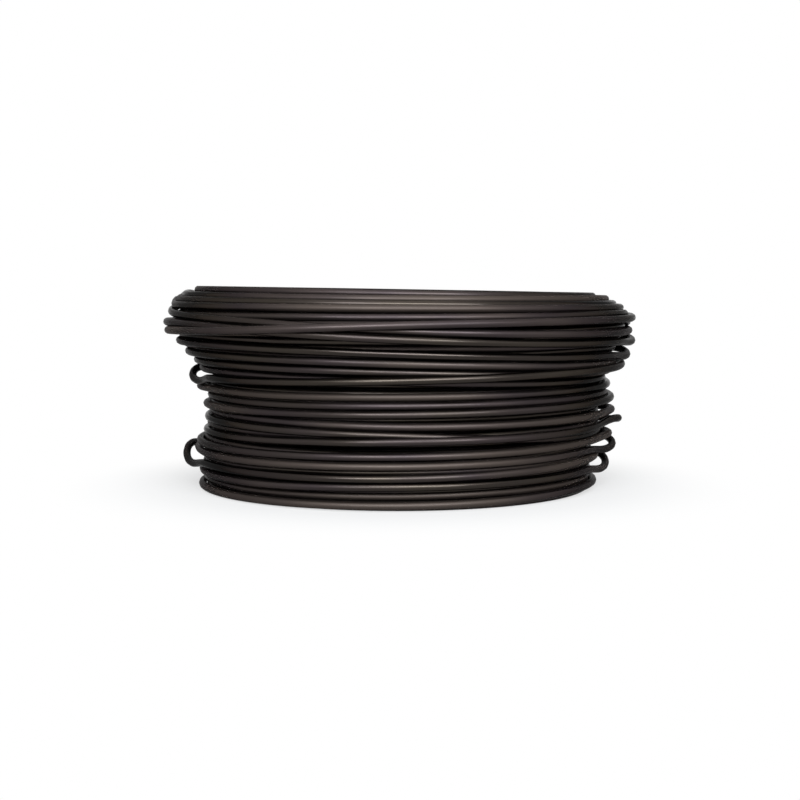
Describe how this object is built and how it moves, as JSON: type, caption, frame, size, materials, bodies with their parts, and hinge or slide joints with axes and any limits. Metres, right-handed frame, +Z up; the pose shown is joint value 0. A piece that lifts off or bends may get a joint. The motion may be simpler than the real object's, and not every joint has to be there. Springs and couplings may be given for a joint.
{
  "type": "coil of tie wire",
  "caption": "Ring-shaped coil of black annealed tie wire with a waisted outside and an open bore, standing on its end, for tying reinforcement and bundles.",
  "frame": {"origin": "on the coil's axis, at the level of the floor that its lower end rests on", "axes": "+Z up along the coil's axis, from the narrow foot to the wide crown; X and Y across the coil"},
  "size_m": [0.099, 0.099, 0.042],
  "materials": {
    "annealed_wire": "satin"
  },
  "bodies": {
    "root": {"wire_coil": "annealed_wire"}
  },
  "joints": []
}
